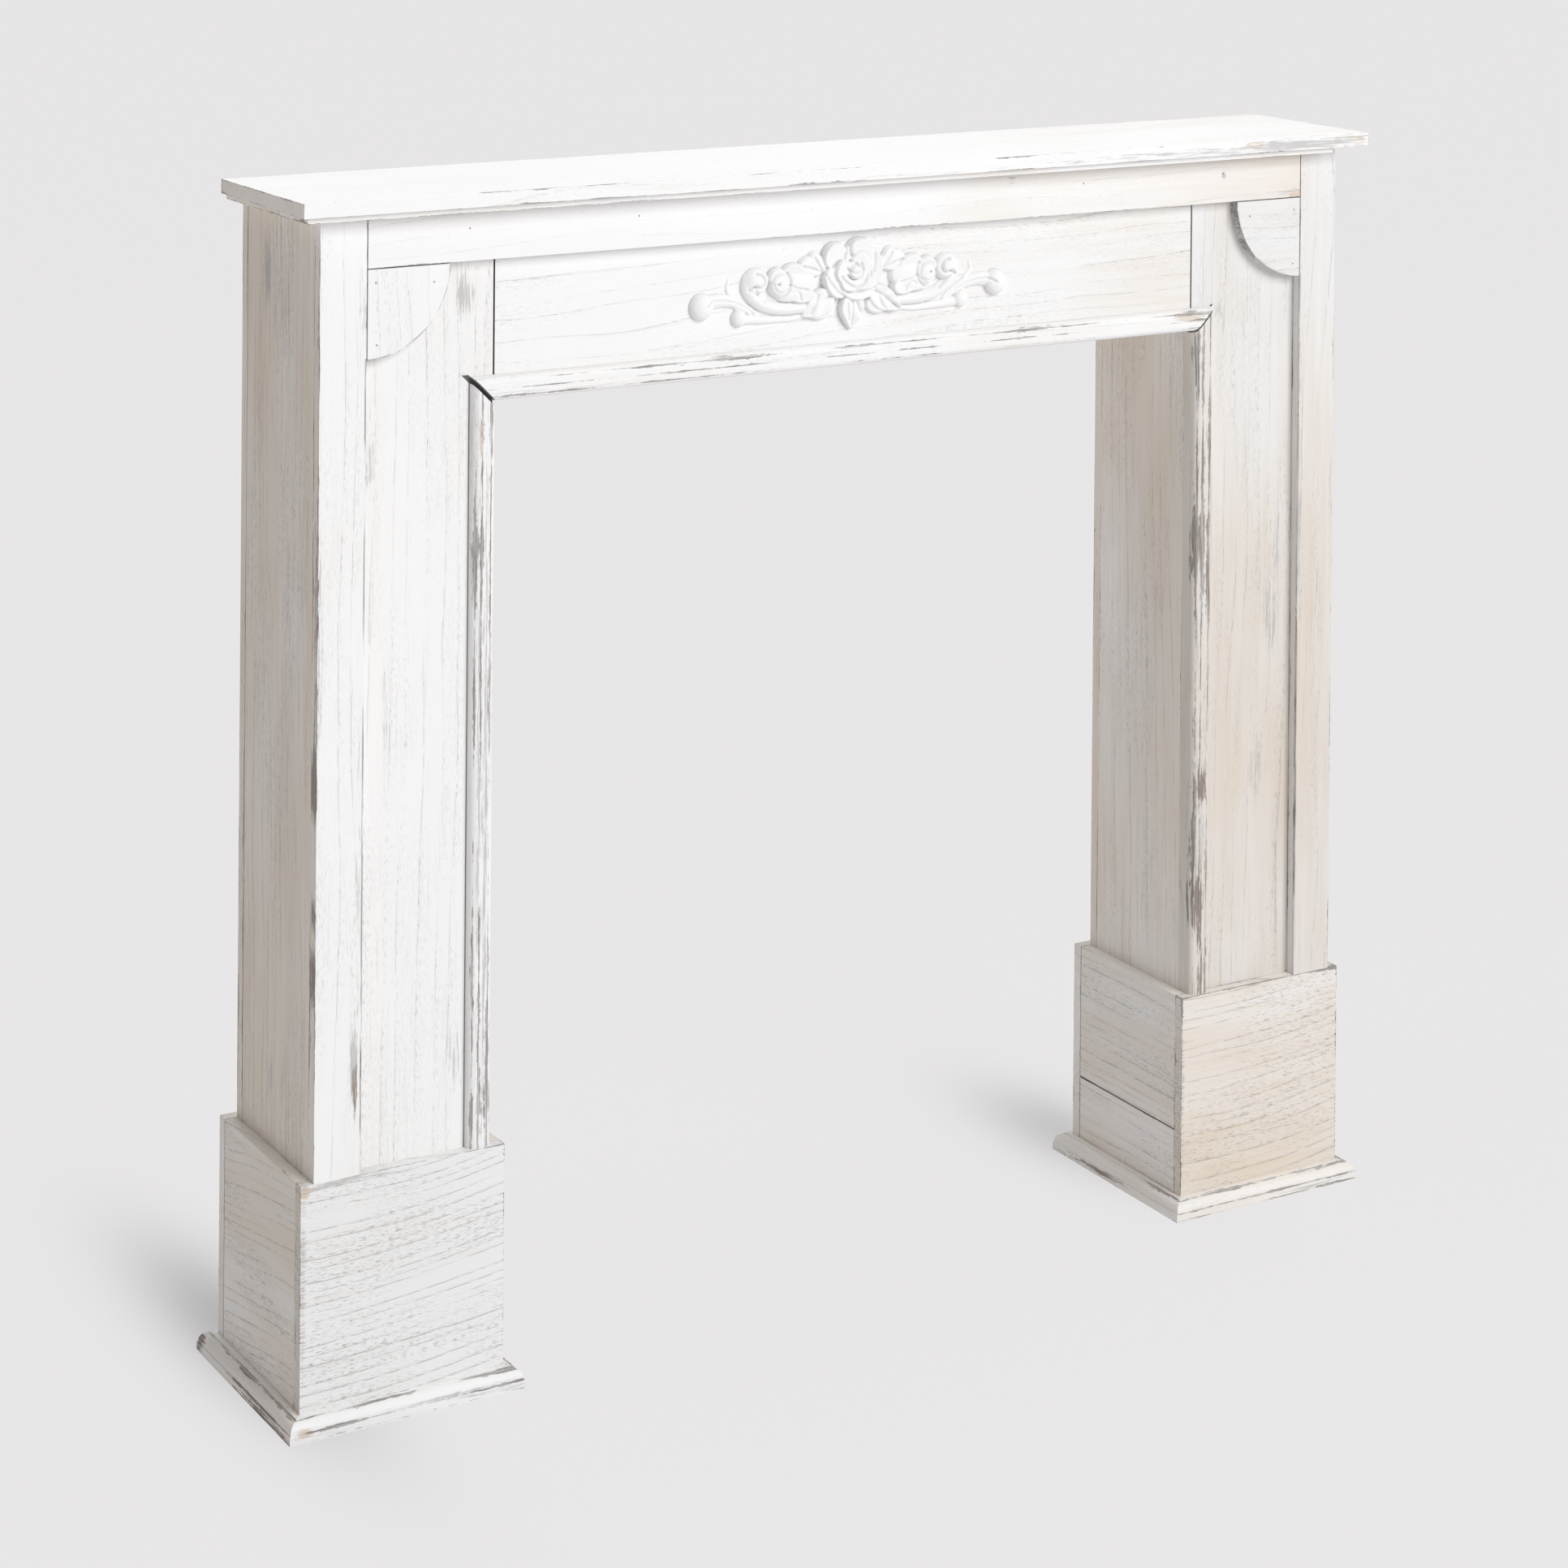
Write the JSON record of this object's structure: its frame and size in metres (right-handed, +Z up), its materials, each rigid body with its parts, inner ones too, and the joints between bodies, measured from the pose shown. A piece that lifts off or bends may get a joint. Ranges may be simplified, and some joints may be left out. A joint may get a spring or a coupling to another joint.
{
  "type": "fireplace surround",
  "caption": "Whitewashed wooden fireplace surround with box posts on plinths, base mouldings, a header with a carved rose ornament, an edged opening and a stepped shelf.",
  "frame": {"origin": "on the floor under the middle of the outline's box, so Z = 0 is the floor and Y = 0 is midway between the front edge of the shelf and the back of the base mouldings", "axes": "+X to the viewer's right along the width, +Y towards the wall, so the front faces -Y, and +Z up"},
  "size_m": [1.09, 0.211, 1],
  "materials": {
    "whitewashed_boards": "thin chalky whitewash over pale wood, grain showing, rubbed through to grey-brown wood along edges",
    "whitewashed_mouldings": "thin chalky whitewash, strongly worn along the shoulders and the lower edge",
    "bare_wood": "unpainted pale softwood, sanded",
    "ornament_casting": "matt white paint over a resin or composition casting, grey in the hollows",
    "steel": "plain steel"
  },
  "bodies": {
    "root": {"shelf_board": "whitewashed_boards", "under_strip_front": "whitewashed_boards", "under_strip_back": "whitewashed_boards", "under_strip_left": "whitewashed_boards", "under_strip_right": "whitewashed_boards", "top_rail": "whitewashed_boards", "frieze_board": "whitewashed_boards", "frieze_cleat_left": "bare_wood", "frieze_cleat_right": "bare_wood", "shelf_cleat": "bare_wood", "header_back_rail": "whitewashed_boards", "rose_ornament": "ornament_casting", "header_moulding": "whitewashed_mouldings", "left_opening_moulding": "whitewashed_mouldings", "right_opening_moulding": "whitewashed_mouldings", "left_stile": "whitewashed_boards", "right_stile": "whitewashed_boards", "left_bracket": "whitewashed_boards", "right_bracket": "whitewashed_boards", "left_post_front": "whitewashed_boards", "right_post_front": "whitewashed_boards", "left_post_back": "whitewashed_boards", "right_post_back": "whitewashed_boards", "left_post_outer_side": "whitewashed_boards", "right_post_outer_side": "whitewashed_boards", "left_post_inner_side": "whitewashed_boards", "right_post_inner_side": "whitewashed_boards", "left_post_top_panel": "bare_wood", "right_post_top_panel": "bare_wood", "left_plinth_front": "whitewashed_boards", "right_plinth_front": "whitewashed_boards", "left_plinth_back": "whitewashed_boards", "right_plinth_back": "whitewashed_boards", "left_plinth_outer_side": "whitewashed_boards", "right_plinth_outer_side": "whitewashed_boards", "left_plinth_inner_side": "whitewashed_boards", "right_plinth_inner_side_upper": "whitewashed_boards", "right_plinth_inner_side_lower": "whitewashed_boards", "left_base_front": "whitewashed_mouldings", "right_base_front": "whitewashed_mouldings", "left_base_back": "whitewashed_mouldings", "right_base_back": "whitewashed_mouldings", "left_base_outer": "whitewashed_mouldings", "right_base_outer": "whitewashed_mouldings", "left_base_inner": "whitewashed_mouldings", "right_base_inner": "whitewashed_mouldings", "shelf_dowels": "bare_wood", "back_rail_dowels": "bare_wood", "shelf_screws": "steel", "cleat_screws": "steel", "bracket_brads": "steel", "rail_brads": "steel", "ornament_pins": "steel"}
  },
  "joints": []
}
